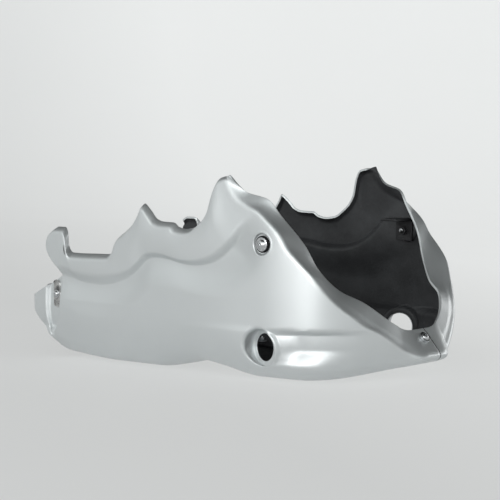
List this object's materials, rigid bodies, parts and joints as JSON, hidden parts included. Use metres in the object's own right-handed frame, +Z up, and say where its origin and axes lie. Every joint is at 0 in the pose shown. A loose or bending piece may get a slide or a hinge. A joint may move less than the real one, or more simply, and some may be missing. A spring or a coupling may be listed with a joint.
{
  "type": "motorcycle belly pan",
  "caption": "Moulded underside fairing for a naked motorcycle: lapped half shells with stepped upper edges, side air ducts, screws, grommets and steel brackets.",
  "frame": {"origin": "middle of the pan's length and breadth, on the ground plane that its two lobes touch", "axes": "+X forward to the nose, +Y to the rider's left, +Z up"},
  "size_m": [0.592, 0.3466, 0.2681],
  "materials": {
    "silver_body": "satin silver lacquer with a fine metallic flake",
    "bright_screws": "polished stainless",
    "zinc_steel": "zinc plated",
    "spreader_plate": "dulled and mottled",
    "black_rubber": "matt",
    "black_steel": "fine-textured powder coat"
  },
  "bodies": {
    "root": {"right_shell": "silver_body", "left_shell": "silver_body", "lap_screw": "bright_screws", "lap_washer": "zinc_steel", "lap_backing_washer": "zinc_steel", "lap_nut": "zinc_steel", "keel_screws": "bright_screws", "keel_washers": "zinc_steel", "keel_backing_washers": "zinc_steel", "keel_nuts": "zinc_steel", "side_screws": "bright_screws", "side_grommets": "black_rubber", "side_sleeves": "zinc_steel", "side_weld_nuts": "black_steel", "side_bracket_right": "black_steel", "side_bracket_left": "black_steel", "rear_screws": "bright_screws", "rear_spreaders": "spreader_plate", "rear_weld_nuts": "black_steel", "rear_bracket_right": "black_steel", "rear_bracket_left": "black_steel"}
  },
  "joints": []
}
